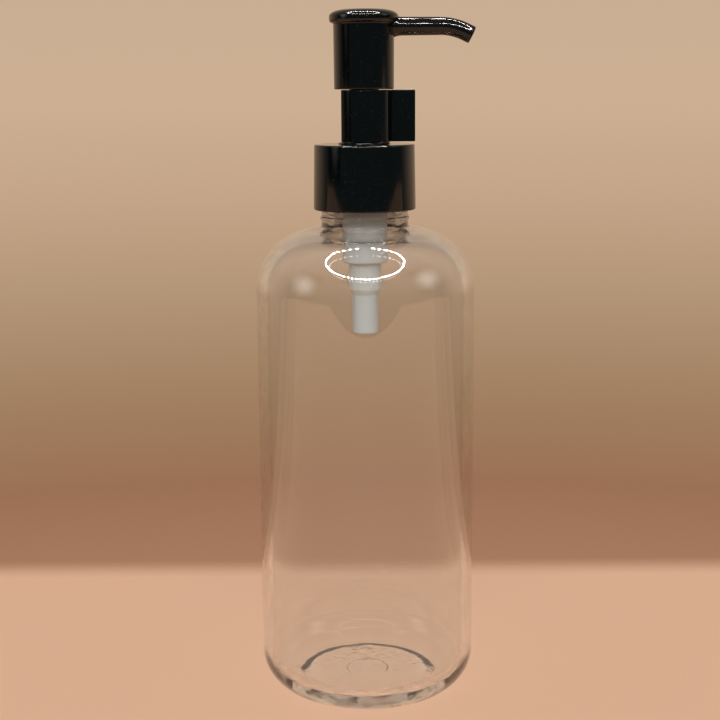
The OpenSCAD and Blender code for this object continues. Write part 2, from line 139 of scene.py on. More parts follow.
class PumpSettings(bpy.types.PropertyGroup):
    """Sizes of the pump that the frame's boxes don't give."""

    closure_inner: FloatProperty(
        name="Closure bore", description="Inner radius of the closure", default=12.1 * MM, unit="LENGTH"
    )
    closure_flare: FloatProperty(
        name="Closure flare", description="How much wider the mouth is than the top, on the radius",
        default=0.3 * MM, unit="LENGTH",
    )
    stem: FloatProperty(
        name="Stem radius", description="Outer radius of the stem", default=4.2 * MM, unit="LENGTH"
    )
    chamber: FloatProperty(
        name="Chamber radius", description="Bore of the pump chamber", default=5.5 * MM, unit="LENGTH"
    )
    skirt: FloatProperty(
        name="Skirt radius", description="Radius of the head's skirt at its foot",
        default=8.4 * MM, unit="LENGTH",
    )
    head_rim: FloatProperty(
        name="Rim height", description="Height of the rim around the head", default=3.6 * MM, unit="LENGTH"
    )
    nozzle: FloatProperty(
        name="Nozzle radius", description="Outer radius of the nozzle", default=2.45 * MM, unit="LENGTH"
    )
    nozzle_wall: FloatProperty(
        name="Nozzle wall", description="Thickness of the nozzle's wall", default=0.85 * MM, unit="LENGTH"
    )
    nozzle_bend: FloatProperty(
        name="Nozzle bend", description="Angle of the nozzle's bend",
        default=math.radians(26), subtype="ANGLE",
    )
    nozzle_bend_radius: FloatProperty(
        name="Bend radius", description="Radius of the nozzle's bend", default=16.5 * MM, unit="LENGTH"
    )
    clip_wall: FloatProperty(
        name="Clip wall", description="Thickness of the clip's outer wall", default=1.1 * MM, unit="LENGTH"
    )
    clip_mouth: FloatProperty(
        name="Clip mouth", description="Half of the clip's mouth, seen from its axis",
        default=math.radians(34), subtype="ANGLE",
    )
    tab: FloatProperty(
        name="Tab thickness", description="Thickness of the clip's finger tab",
        default=1.8 * MM, unit="LENGTH",
    )
    spring_wire: FloatProperty(
        name="Spring wire", description="Diameter of the spring's wire", default=0.6 * MM, unit="LENGTH"
    )
    spring_coils: IntProperty(name="Coils", description="Coils of the spring", default=8, min=4, max=12)


class FinishSettings(bpy.types.PropertyGroup):
    """Colours of the finishes."""

    clear: FloatVectorProperty(
        name="Clear", description="Tint of the clear plastic", subtype="COLOR", size=4,
        default=(0.92, 0.925, 0.92, 1),
    )
    black: FloatVectorProperty(
        name="Black", description="Colour of the black plastic", subtype="COLOR", size=4,
        default=(0.0016, 0.0026, 0.0027, 1),
    )
    natural: FloatVectorProperty(
        name="Natural", description="Colour of the uncoloured plastic", subtype="COLOR", size=4,
        default=(0.58, 0.65, 0.66, 1),
    )
    seal: FloatVectorProperty(
        name="Seal", description="Colour of the soft seals", subtype="COLOR", size=4,
        default=(0.86, 0.86, 0.82, 1),
    )
    steel: FloatVectorProperty(
        name="Steel", description="Colour of the spring and ball", subtype="COLOR", size=4,
        default=(0.62, 0.62, 0.63, 1),
    )


class StageSettings(bpy.types.PropertyGroup):
    """The floor, the lights and the camera."""

    floor_colour: FloatVectorProperty(
        name="Floor", description="Colour of the floor", subtype="COLOR", size=4,
        default=(0.72, 0.445, 0.295, 1),
    )
    floor_back: FloatProperty(
        name="Floor behind", description="How far the floor runs behind the bottle",
        default=0.11, unit="LENGTH",
    )
    floor_front: FloatProperty(
        name="Floor in front", description="How far the floor runs in front of the bottle",
        default=0.7, unit="LENGTH",
    )
    camera_height: FloatProperty(
        name="Camera height", description="Height of the camera over the floor", default=0.1754, unit="LENGTH"
    )
    camera_distance: FloatProperty(
        name="Camera distance", description="Level distance from the bottle's axis",
        default=0.3985, unit="LENGTH",
    )
    camera_pitch: FloatProperty(
        name="Camera pitch", description="How far the camera looks down",
        default=math.radians(11), subtype="ANGLE",
    )
    ring_count: IntProperty(name="Ring lamps", description="Small lamps on the ring light", default=44, min=3)
    ring_radius: FloatProperty(
        name="Ring radius", description="Radius of the ring light", default=0.2, unit="LENGTH"
    )
    ring_distance: FloatProperty(
        name="Ring distance", description="Distance from the shoulder to the ring light",
        default=0.314, unit="LENGTH",
    )
    ring_height: FloatProperty(
        name="Ring elevation", description="Elevation of the ring light seen from the shoulder",
        default=math.radians(72), subtype="ANGLE",
    )
    ring_lamp: FloatProperty(
        name="Lamp radius", description="Radius of each small lamp", default=7.5 * MM, unit="LENGTH"
    )
    ring_strength: FloatProperty(name="Lamp strength", description="Strength of the small lamps", default=170)
    window_strength: FloatProperty(
        name="Window strength", description="Strength of the two soft windows", default=1.8
    )
    overhead_strength: FloatProperty(
        name="Overhead strength", description="Strength of the soft light from above", default=0.62
    )
    fill_strength: FloatProperty(
        name="Fill strength", description="Strength of the soft light from the front", default=2.3
    )


class SoapBottleSettings(bpy.types.PropertyGroup):
    """All settings of the bottle."""

    bottle: PointerProperty(type=BottleSettings)
    pump: PointerProperty(type=PumpSettings)
    finish: PointerProperty(type=FinishSettings)
    stage: PointerProperty(type=StageSettings)


# Nodes


class Value:
    """A number socket that can be used in ordinary maths; each operation adds a Math node."""

    def __init__(self, nodes, socket):
        self.nodes = nodes
        self.socket = socket

    def math(self, operation, first, second=0.0):
        node = self.nodes.add("ShaderNodeMath", {0: first, 1: second}, operation=operation)
        return Value(self.nodes, node.outputs[0])

    def __add__(self, other):
        return self.math("ADD", self, other)

    def __radd__(self, other):
        return self.math("ADD", other, self)

    def __mul__(self, other):
        return self.math("MULTIPLY", self, other)

    def __rmul__(self, other):
        return self.math("MULTIPLY", other, self)

    def __pow__(self, other):
        return self.math("POWER", self, other)

    def __lt__(self, other):
        return self.math("LESS_THAN", self, other)

    def __gt__(self, other):
        return self.math("GREATER_THAN", self, other)


class Nodes:
    """Adds nodes to one tree."""

    def __init__(self, tree):
        self.tree = tree

    def add(self, kind, inputs=None, stops=None, **settings):
        """Adds a node: its settings first, then the values or links of its sockets."""
        node = self.tree.nodes.new(kind)
        for name, value in settings.items():
            setattr(node, name, value)
        if stops:
            ramp = node.color_ramp
            while len(ramp.elements) < len(stops):
                ramp.elements.new(1)
            for element, (place, colour) in zip(ramp.elements, stops):
                element.position = place
                element.color = colour
        for key, value in (inputs or {}).items():
            source = value.socket if isinstance(value, Value) else value
            if isinstance(source, bpy.types.NodeSocket):
                self.tree.links.new(source, node.inputs[key])
            else:
                node.inputs[key].default_value = source
        return node

    def value(self, kind, output, inputs=None, **settings):
        """Adds a node and wraps one of its outputs for maths."""
        return Value(self, self.add(kind, inputs, **settings).outputs[output])


def geometry_tree(name, inputs):
    """A Geometry Nodes group with a geometry input, the inputs named, and a geometry output."""
    tree = bpy.data.node_groups.new(name, "GeometryNodeTree")
    tree.interface.new_socket("Geometry", in_out="INPUT", socket_type="NodeSocketGeometry")
    for label, kind in inputs.items():
        tree.interface.new_socket(label, in_out="INPUT", socket_type=kind)
    tree.interface.new_socket("Geometry", in_out="OUTPUT", socket_type="NodeSocketGeometry")
    nodes = Nodes(tree)
    return nodes, nodes.add("NodeGroupInput"), nodes.add("NodeGroupOutput")


def finish_tree(nodes, given, result, geometry):
    """Ends a tree in smooth shading, Realize Instances and Set Material."""
    smooth = nodes.add("GeometryNodeSetShadeSmooth", {"Geometry": geometry})
    real = nodes.add("GeometryNodeRealizeInstances", {"Geometry": smooth.outputs[0]})
    painted = nodes.add(
        "GeometryNodeSetMaterial", {"Geometry": real.outputs[0], "Material": given.outputs["Material"]}
    )
    nodes.tree.links.new(painted.outputs[0], result.inputs[0])


def lathe_tree():
    """Turns an outline, drawn as (radius, -height), about the upright axis."""
    nodes, given, result = geometry_tree(
        "Turned shape", {"Segments": "NodeSocketInt", "Material": "NodeSocketMaterial"}
    )
    outline = nodes.add("GeometryNodeMeshToCurve", {"Mesh": given.outputs["Geometry"]})
    circle = nodes.add(
        "GeometryNodeCurvePrimitiveCircle", {"Resolution": given.outputs["Segments"], "Radius": AXIS_R}
    )
    swept = nodes.add(
        "GeometryNodeCurveToMesh", {"Curve": circle.outputs[0], "Profile Curve": outline.outputs[0]}
    )
    place = nodes.add("ShaderNodeSeparateXYZ", {0: nodes.add("GeometryNodeInputPosition").outputs[0]})
    across, along = (Value(nodes, place.outputs[axis]) for axis in "XY")
    at_pole = across * across + along * along < (2 * AXIS_R) ** 2
    closed = nodes.add(
        "GeometryNodeMergeByDistance",
        {"Geometry": swept.outputs[0], "Selection": at_pole, "Distance": 3 * AXIS_R},
    )
    finish_tree(nodes, given, result, closed.outputs[0])
    return nodes.tree


def tube_tree():
    """Sweeps a round section along a path whose points hold their own radius."""
    nodes, given, result = geometry_tree(
        "Round tube",
        {"Sides": "NodeSocketInt", "Caps": "NodeSocketBool", "Material": "NodeSocketMaterial"},
    )
    path = nodes.add("GeometryNodeMeshToCurve", {"Mesh": given.outputs["Geometry"]})
    section = nodes.add(
        "GeometryNodeCurvePrimitiveCircle", {"Resolution": given.outputs["Sides"], "Radius": 1.0}
    )
    width = nodes.add("GeometryNodeInputNamedAttribute", {"Name": "radius"}, data_type="FLOAT")
    swept = nodes.add(
        "GeometryNodeCurveToMesh",
        {
            "Curve": path.outputs[0],
            "Profile Curve": section.outputs[0],
            "Scale": width.outputs[0],
            "Fill Caps": given.outputs["Caps"],
        },
    )
    finish_tree(nodes, given, result, swept.outputs[0])
    return nodes.tree


def spokes_tree():
    """Repeats a shape at even angles about the upright axis."""
    nodes, given, result = geometry_tree(
        "Spokes", {"Count": "NodeSocketInt", "Start": "NodeSocketFloat", "Material": "NodeSocketMaterial"}
    )
    count = Value(nodes, given.outputs["Count"])
    points = nodes.add("GeometryNodePoints", {"Count": count})
    index = nodes.value("GeometryNodeInputIndex", 0)
    turn = index * TURN * count**-1 + Value(nodes, given.outputs["Start"])
    angles = nodes.add("ShaderNodeCombineXYZ", {"Z": turn})
    copies = nodes.add(
        "GeometryNodeInstanceOnPoints",
        {
            "Points": points.outputs[0],
            "Instance": given.outputs["Geometry"],
            "Rotation": angles.outputs[0],
        },
    )
    finish_tree(nodes, given, result, copies.outputs[0])
    return nodes.tree


def tree_named(name, build):
    """Finds a node group or builds it on its first use."""
    return bpy.data.node_groups.get(name) or build()


# Mesh helpers


def mesh_object(name, points, edges=(), faces=()):
    """An object of plain mesh data."""
    mesh = bpy.data.meshes.new(name)
    mesh.from_pydata([tuple(p) for p in points], list(edges), list(faces))
    obj = bpy.data.objects.new(name, mesh)
    bpy.context.collection.objects.link(obj)
    return obj


def run_tree(obj, tree, inputs):
    """Runs a Geometry Nodes tree on an object and keeps its result as a plain mesh."""
    modifier = obj.modifiers.new(tree.name, "NODES")
    modifier.node_group = tree
    for item in tree.interface.items_tree:
        if item.in_out == "INPUT" and item.name in inputs:
            modifier[item.identifier] = inputs[item.name]
    apply_modifiers(obj)
    return obj


def apply_modifiers(obj):
    """Turns an object's modifiers into plain mesh."""
    graph = bpy.context.evaluated_depsgraph_get()
    mesh = bpy.data.meshes.new_from_object(obj.evaluated_get(graph), depsgraph=graph)
    obj.modifiers.clear()
    obj.data = mesh
    mesh.name = obj.name


def rounded(corners, closed=False):
    """Points of an outline of (radius, height, fillet) corners, with each fillet as an arc."""
    points = []
    for i, (r, z, fillet) in enumerate(corners):
        here = Vector((r, z))
        if not fillet or (not closed and i in (0, len(corners) - 1)):
            points.append(here)
            continue
        back = (Vector(corners[i - 1][:2]) - here).normalized()
        ahead = (Vector(corners[(i + 1) % len(corners)][:2]) - here).normalized()
        half = back.angle(ahead) / 2
        centre = here + (back + ahead).normalized() * fillet / math.sin(half)
        start = here + back * fillet / math.tan(half) - centre
        end = here + ahead * fillet / math.tan(half) - centre
        turn = math.atan2(start.x * end.y - start.y * end.x, start.dot(end))
        steps = max(math.ceil(abs(turn) / FINE_ANGLE), math.ceil(abs(turn) * fillet / FINE_STEP))
        for k in range(steps + 1):
            points.append(centre + Matrix.Rotation(turn * k / steps, 2) @ start)
    return points


def turned(name, corners, material, closed=True, segments=160):
    """A turned piece whose outline runs counter-clockwise in the radius and height plane."""
    outline = [(max(p.x - AXIS_R, 0), -p.y, 0) for p in reversed(rounded(corners, closed))]
    edges = [(i, i + 1) for i in range(len(outline) - 1)]
    if closed:
        edges.append((len(outline) - 1, 0))
    obj = mesh_object(name, outline, edges)
    return run_tree(
        obj, tree_named("Turned shape", lathe_tree), {"Segments": segments, "Material": material}
    )


def tube(name, path, material, sides=48, caps=True):
    """A round tube along (point, radius) stations."""
    obj = mesh_object(name, [p for p, _ in path], [(i, i + 1) for i in range(len(path) - 1)])
    widths = obj.data.attributes.new("radius", "FLOAT", "POINT")
    widths.data.foreach_set("value", [r for _, r in path])
    return run_tree(
        obj, tree_named("Round tube", tube_tree), {"Sides": sides, "Caps": caps, "Material": material}
    )


def helix(r, turns, steps, height):
    """Points of a helix whose height is a function of its turns."""
    points = []
    for i in range(round(turns * steps) + 1):
        angle = TURN * i / steps
        points.append(Vector((r * math.cos(angle), r * math.sin(angle), height(i / steps))))
    return points


def join(main, *others):
    """Joins objects into the first one."""
    whole = bmesh.new()
    for obj in (main, *others):
        whole.from_mesh(obj.data)
    whole.to_mesh(main.data)
    whole.free()
    for obj in others:
        bpy.data.objects.remove(obj)
    return main


def arc_points(r, start, end, step=FINE_ANGLE / 2):
    """Points along an arc about the upright axis."""
    count = math.ceil(abs(end - start) / step)
    angles = (start + (end - start) * i / count for i in range(count + 1))
    return [(r * math.cos(angle), r * math.sin(angle)) for angle in angles]


def prism(name, outline, foot, top, material, soft):
    """An upright prism over a counter-clockwise outline, with its sharp edges softened."""
    count = len(outline)
    points = [(x, y, z) for z in (foot, top) for x, y in outline]
    sides = [(i, (i + 1) % count, count + (i + 1) % count, count + i) for i in range(count)]
    caps = [tuple(reversed(range(count))), tuple(range(count, 2 * count))]
    obj = mesh_object(name, points, faces=sides + caps)
    edge = obj.modifiers.new("Soft edges", "BEVEL")
    edge.width = soft
    edge.segments = 3
    edge.limit_method = "ANGLE"
    edge.angle_limit = math.radians(35)
    edge.harden_normals = True
    obj.data.shade_smooth()
    apply_modifiers(obj)
    obj.data.materials.append(material)
    return obj


def settle(obj, body, slot, *nodes):
    """Hangs a finished piece on its body, in place of the CAD nodes it stands for."""
    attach(obj, body)
    if nodes:
        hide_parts(*nodes)


def paint(node, material):
    """Gives a CAD node its finish."""
    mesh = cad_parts[node].data
    mesh.materials.clear()
    mesh.materials.append(material)
    mesh.shade_smooth()


# Finishes


def new_material(name):
    """An empty node material and the adder for its nodes."""
    material = bpy.data.materials.new(name)
    material.use_nodes = True
    material.node_tree.nodes.clear()
    return material, Nodes(material.node_tree)


def show(nodes, shader):
    """Ends a material in its surface shader."""
    nodes.add("ShaderNodeOutputMaterial", {"Surface": shader.outputs[0]})


def noise(nodes, scale, detail=3.0, stretch=(1, 1, 1)):
    """Noise on the piece's own coordinates, in cells per metre."""
    place = nodes.add("ShaderNodeTexCoord").outputs["Object"]
    mapped = nodes.add("ShaderNodeMapping", {"Vector": place, "Scale": stretch})
    return nodes.value(
        "ShaderNodeTexNoise", "Fac", {"Vector": mapped.outputs[0], "Scale": scale, "Detail": detail}
    )


def own_coordinate(nodes, axis):
    """One of the piece's own coordinates over its surface."""
    place = nodes.add("ShaderNodeTexCoord").outputs["Object"]
    return nodes.add("ShaderNodeSeparateXYZ", {0: place}).outputs[axis]


def rise(nodes, value, start, end):
    """Goes smoothly from 0 where the value is start to 1 where it is end."""
    return nodes.value(
        "ShaderNodeMapRange", 0, {"Value": value, "From Min": start, "From Max": end},
        interpolation_type="SMOOTHSTEP",
    )


def blend(nodes, factor, first, second):
    """A colour between two others."""
    mix = nodes.add("ShaderNodeMix", {"Factor": factor, "A": first, "B": second}, data_type="RGBA")
    return mix.outputs["Result"]


def shaded(colour, share):
    """A darker copy of a colour."""
    return tuple(share * c for c in colour[:3]) + (1,)


def bump(nodes, height, strength, distance):
    """A Bump node's normal."""
    node = nodes.add("ShaderNodeBump", {"Height": height, "Strength": strength, "Distance": distance})
    return node.outputs[0]


def clear_plastic(tint):
    """Clear polyester: glossy, with a faint flow ripple, a wavy foot, painted shade on the neck and light
    rubs.

    The wall barely bends what is seen through it, while its gloss coat reflects like solid plastic.
    """
    material, nodes = new_material("Clear polyester")
    rubs = noise(nodes, 220, 5, (1, 1, 0.15))
    ripple = noise(nodes, 38, 2, (1, 1, 0.5))
    height = own_coordinate(nodes, "Z")
    foot = rise(nodes, height, 15 * MM, 5 * MM)
    # Painted shade: the tint darkens over the neck to stand for the closure's shadow and the black closure's
    # reflection in it
    neck = rise(nodes, height, high("bottle") - 21.35 * MM, high("bottle") - 17.35 * MM)
    waves = ripple + noise(nodes, 130, 2) * foot * 22.0
    shader = nodes.add(
        "ShaderNodeBsdfPrincipled",
        {
            "Base Color": blend(nodes, neck * 0.8, tint, shaded(tint, 0.5)),
            "Roughness": (rubs > 0.68) * 0.05 + 0.005,
            "IOR": 1.2,
            "Transmission Weight": 1.0,
            "Coat Weight": 1.0,
            "Coat Roughness": 0.005,
            "Coat IOR": 1.57,
            "Normal": bump(nodes, waves, 0.12, 0.3 * MM),
        },
    )
    show(nodes, shader)
    return material


def black_plastic(colour):
    """Gloss black moulding: slight orange peel, soft rubs and a little dust."""
    material, nodes = new_material("Gloss black moulding")
    peel = noise(nodes, 700, 2)
    rubs = noise(nodes, 120, 6, (1, 1, 2.5))
    dust = noise(nodes, 2600, 1)
    dust_colour = (0.09, 0.085, 0.08, 1)
    shader = nodes.add(
        "ShaderNodeBsdfPrincipled",
        {
            "Base Color": blend(nodes, (dust > 0.72) * 0.25, colour, dust_colour),
            "Roughness": rubs * 0.14 + 0.02,
            "IOR": 1.49,
            "Normal": bump(nodes, peel, 0.08, 0.04 * MM),
        },
    )
    show(nodes, shader)
    return material


def natural_plastic(name, colour, roughness):
    """Uncoloured plastic that lets a little light into its surface."""
    material, nodes = new_material(name)
    cloud = noise(nodes, 180, 4)
    grain = noise(nodes, 1500, 2)
    shader = nodes.add(
        "ShaderNodeBsdfPrincipled",
        {
            "Base Color": blend(nodes, cloud * 0.35, colour, shaded(colour, 0.86)),
            "Roughness": grain * 0.2 + roughness,
            "Subsurface Weight": 0.35,
            "Subsurface Radius": (1.0, 1.0, 0.9),
            "Subsurface Scale": 1.2 * MM,
            "Normal": bump(nodes, grain, 0.15, 0.03 * MM),
        },
    )
    show(nodes, shader)
    return material


def bright_steel(colour):
    """Drawn steel wire and the polished ball."""
    material, nodes = new_material("Drawn steel")
    drawn = noise(nodes, 900, 3, (1, 1, 8))
    shader = nodes.add(
        "ShaderNodeBsdfPrincipled",
        {
            "Base Color": colour,
            "Metallic": 1.0,
            "Roughness": drawn * 0.25 + 0.1,
            "Normal": bump(nodes, drawn, 0.1, 0.01 * MM),
        },
    )
    show(nodes, shader)
    return material


def finish_named(name, finish):
    """Finds a finish or makes it on its first use."""
    makers = {
        "Clear polyester": lambda: clear_plastic(finish.clear),
        "Gloss black moulding": lambda: black_plastic(finish.black),
        "Natural moulding": lambda: natural_plastic(name, finish.natural, 0.25),
        "Soft seal": lambda: natural_plastic(name, finish.seal, 0.4),
        "Drawn steel": lambda: bright_steel(finish.steel),
    }
    return bpy.data.materials.get(name) or makers[name]()


# Pieces


class MakeBottle(bpy.types.Operator):
    """Make the clear bottle with its foot, shoulder, neck and thread"""

    bl_idname = "soap_bottle.make_bottle"
    bl_label = "Bottle"

    def execute(self, context):
        settings = context.scene.soap_bottle
        size = settings.bottle
        clear = finish_named("Clear polyester", settings.finish)
        side = radius("bottle")
        inner = side - size.wall
        lip = high("bottle")
        neck_top = lip - size.finish
        neck_foot = neck_top - size.neck_height
        bead = neck_foot + 2.6 * MM
        tilt = math.tan(size.slope)
        neck_fillet = 0.9 * MM
        drop = size.wall / math.cos(size.slope)
        dimple_depth = 0.7 * MM
        punt_r, foot_r = 17.5 * MM, 20.2 * MM
        bead_foot, bead_face = 0.6 * MM, 0.3 * MM

        def slope_at(r):
            """Height of the shoulder's straight slope at a radius."""
            return neck_foot + (size.neck + neck_fillet - r) * tilt

        outline = [
            (0, size.punt + dimple_depth, 0),
            (size.dimple - 0.25 * MM, size.punt + dimple_depth, 0.5 * MM),
            (size.dimple, size.punt, 0.4 * MM),
            (punt_r, size.punt, 2 * MM),
            (foot_r, 0, 1.5 * MM),
            (side, 0, size.heel),
            (side, slope_at(side), size.shoulder),
            (size.neck, slope_at(size.neck), neck_fillet),
            (size.neck, bead - bead_foot, 0.2 * MM),
            (size.neck + size.bead, bead - bead_face, 0.2 * MM),
            (size.neck + size.bead, bead + bead_face, 0.2 * MM),
            (size.neck, bead + bead_foot, 0.2 * MM),
            (size.neck, neck_top, 0.3 * MM),
            (size.thread_root, neck_top + 0.8 * MM, 0.4 * MM),
            (size.thread_root, lip, 0.5 * MM),
            (size.bore, lip, 0.4 * MM),
            (size.bore, slope_at(size.bore) - drop, 2 * MM),
            (inner, slope_at(inner) - drop, size.shoulder - size.wall),
            (inner, size.floor, size.heel - size.wall),
            (0, size.floor + size.floor_crown, 0),
        ]
        bottle = turned("bottle_shell", outline, clear, closed=False, segments=256)
        ridge = 0.75 * MM
        ridge_r = size.thread_root + 0.3 * MM
        start = lip - THREAD_DROP
        points = helix(ridge_r, size.thread_turns, HELIX_STEPS, lambda t: start + size.thread_pitch * t)
        last = len(points) - 1
        fade = 5  # points over which the ridge thins out at each end
        widths = [ridge * min(1, (i + 1) / fade, (last - i + 1) / fade) for i in range(len(points))]
        thread = tube("neck_thread", list(zip(points, widths)), clear, sides=12)
        for piece in (bottle, thread):
            # Light passes straight through the clear walls to the housing and the floor
            piece.visible_shadow = False
            piece.visible_diffuse = False
        settle(bottle, "bottle", "clear_bottle", "bottle")
        settle(thread, "bottle", "clear_bottle")
        return {"FINISHED"}


class MakeClosure(bpy.types.Operator):
    """Make the smooth screw closure and its inner thread"""

    bl_idname = "soap_bottle.make_closure"
    bl_label = "Closure"

    def execute(self, context):
        settings = context.scene.soap_bottle
        size = settings.pump
        black = finish_named("Gloss black moulding", settings.finish)
        foot, top, side = low("closure"), high("closure"), radius("closure")
        hole = 6.6 * MM
        ceiling = top - 1.6 * MM
        mouth = size.closure_inner + 0.55 * MM
        mouth_top, mouth_edge = foot + 1.6 * MM, foot + 1.4 * MM
        outline = [
            (mouth, foot, 0.25 * MM),
            (side, foot, 0.4 * MM),
            (side - size.closure_flare, top, 0.4 * MM),
            (hole, top, 0.25 * MM),
            (hole, ceiling, 0.2 * MM),
            (size.closure_inner, ceiling, 0.3 * MM),
            (size.closure_inner, mouth_top, 0.1 * MM),
            (mouth, mouth_edge, 0.1 * MM),
        ]
        closure = turned("closure_shell", outline, black, segments=192)
        bottle = settings.bottle
        start = high("bottle") - THREAD_DROP - bottle.thread_pitch / 2
        ridge, ridge_r = 0.7 * MM, size.closure_inner - 0.1 * MM
        points = helix(ridge_r, bottle.thread_turns, HELIX_STEPS, lambda t: start + bottle.thread_pitch * t)
        thread = tube("closure_thread", [(p, ridge) for p in points], black, sides=12)
        settle(join(closure, thread), "closure", "black_plastic", "closure")
        return {"FINISHED"}


class MakeHead(bpy.types.Operator):
    """Make the pump head with its dished top, ribs and curved nozzle"""

    bl_idname = "soap_bottle.make_head"
    bl_label = "Pump head"

    def nozzle_path(self, size, axis_z, start, straight):
        """Stations of the nozzle: a flared root, the straight, the bend and the straight tip."""
        stations = []
        flare_steps, bend_steps = 12, 24
        flare_end, flare, flare_curve = 10.8 * MM, 0.5 * MM, 2.4
        root_more, straight_more = 0.1 * MM, 0.03 * MM
        for i in range(flare_steps + 1):
            x = start + (flare_end - start) * i / flare_steps
            near = max(0.0, 1 - max(0.0, x - size.skirt) / (flare_end - size.skirt))
            stations.append((Vector((x, 0, axis_z)), size.nozzle + root_more + flare * near**flare_curve))
        stations.append((Vector((straight, 0, axis_z)), size.nozzle + straight_more))
        centre = Vector((straight, 0, axis_z - size.nozzle_bend_radius))
        for i in range(1, bend_steps + 1):
            turn = size.nozzle_bend * i / bend_steps
            arm = Vector((math.sin(turn), 0, math.cos(turn))) * size.nozzle_bend_radius
            stations.append((centre + arm, size.nozzle))
        ahead = Vector((math.cos(size.nozzle_bend), 0, -math.sin(size.nozzle_bend)))
        tip_length = 2 * MM
        stations.append((stations[-1][0] + ahead * tip_length, size.nozzle))
        return stations

    def execute(self, context):
        settings = context.scene.soap_bottle
        size = settings.pump
        black = finish_named("Gloss black moulding", settings.finish)
        foot, top, rim = low("pump_head"), high("pump_head"), radius("pump_head")
        skirt_top = size.skirt + 0.1 * MM
        wall = 1.3 * MM
        plate = top - 2.1 * MM
        axis_z = top - 4.6 * MM
        socket_top = axis_z - 6.5 * MM
        hub = size.stem + 1.3 * MM
        rim_foot = top - size.head_rim
        flat, drop = 5.4 * MM, 1.9 * MM
        crown_steps = 14
        angles = [TURN / 4 * i / crown_steps for i in range(crown_steps + 1)]
        crown = [(flat + (rim - flat) * math.cos(a), top - drop + drop * math.sin(a), 0) for a in angles]
        channel_r, channel_top = 2.2 * MM, axis_z + 1.7 * MM
        socket_r, socket_foot = size.stem + 0.02 * MM, foot + 1.5 * MM
        dish = top - 0.25 * MM
        outline = [
            (0, channel_top, 0),
            (channel_r, channel_top, 0.2 * MM),
            (channel_r, socket_top, 0),
            (socket_r, socket_top, 0),
            (socket_r, socket_foot, 0.2 * MM),
            (hub, socket_foot, 0.3 * MM),
            (hub, plate, 0.4 * MM),
            (skirt_top - wall, plate, 0.4 * MM),
            (size.skirt - wall, foot, 0.25 * MM),
            (size.skirt, foot, 0.4 * MM),
            (skirt_top, rim_foot - 0.1 * MM, 0.4 * MM),
            (rim, rim_foot, 1.0 * MM),
            *crown,
            (5.2 * MM, top, 0.1 * MM),
            (3.7 * MM, dish, 2 * MM),
            (0, dish, 0),
        ]
        head = turned("pump_head_shell", outline, black, closed=False, segments=160)
        half_rib, rib_foot, rib_count = 0.5 * MM, foot + 3 * MM, 6
        reach = (hub - 0.2 * MM, size.skirt - wall + 0.3 * MM)
        rib = mesh_object("ribs", *box_mesh(reach, (-half_rib, half_rib), (rib_foot, plate)))
        run_tree(
            rib,
            tree_named("Spokes", spokes_tree),
            {"Count": rib_count, "Start": TURN / rib_count / 2, "Material": black},
        )
        straight = 21.1 * MM
        stations = self.nozzle_path(size, axis_z, hub - 1 * MM, straight)
        nozzle = tube("nozzle", stations, black, sides=64, caps=False)
        shell = nozzle.modifiers.new("Wall", "SOLIDIFY")
        shell.thickness = size.nozzle_wall
        shell.offset = -1
        edge = nozzle.modifiers.new("Soft rim", "BEVEL")
        edge.width = 0.25 * MM
        edge.segments = 3
        edge.limit_method = "ANGLE"
        edge.angle_limit = math.radians(50)
        apply_modifiers(nozzle)
        settle(join(head, rib, nozzle), "plunger", "black_plastic", "pump_head")
        return {"FINISHED"}


def box_mesh(xs, ys, zs):
    """Points, edges and outward faces of an upright box."""
    points = [(x, y, z) for z in zs for y in ys for x in xs]
    faces = [(0, 2, 3, 1), (4, 5, 7, 6), (0, 1, 5, 4), (2, 6, 7, 3), (0, 4, 6, 2), (1, 3, 7, 5)]
    return points, (), faces


class MakeCollar(bpy.types.Operator):
    """Make the black collar that guides the stem"""

    bl_idname = "soap_bottle.make_collar"
    bl_label = "Collar"

    def execute(self, context):
        settings = context.scene.soap_bottle
        size = settings.pump
        black = finish_named("Gloss black moulding", settings.finish)
        foot, top, rim = low("collar"), high("collar"), radius("collar")
        seat = top - 0.5 * MM
        shoulder = high("pump_housing")
        bore = size.stem + 0.05 * MM
        plug, neck = size.chamber - 0.02 * MM, 6.4 * MM
        outline = [
            (bore, foot, 0.15 * MM),
            (plug, foot, 0.2 * MM),
            (plug, shoulder, 0),
            (neck, shoulder, 0.1 * MM),
            (neck, seat, 0),
            (rim, seat, 0.15 * MM),
            (rim - 0.2 * MM, top, 0.25 * MM),
            (bore, top, 0.3 * MM),
        ]
        collar = turned("collar_ring", outline, black, segments=128)
        settle(collar, "pump_core", "black_plastic", "collar")
        return {"FINISHED"}


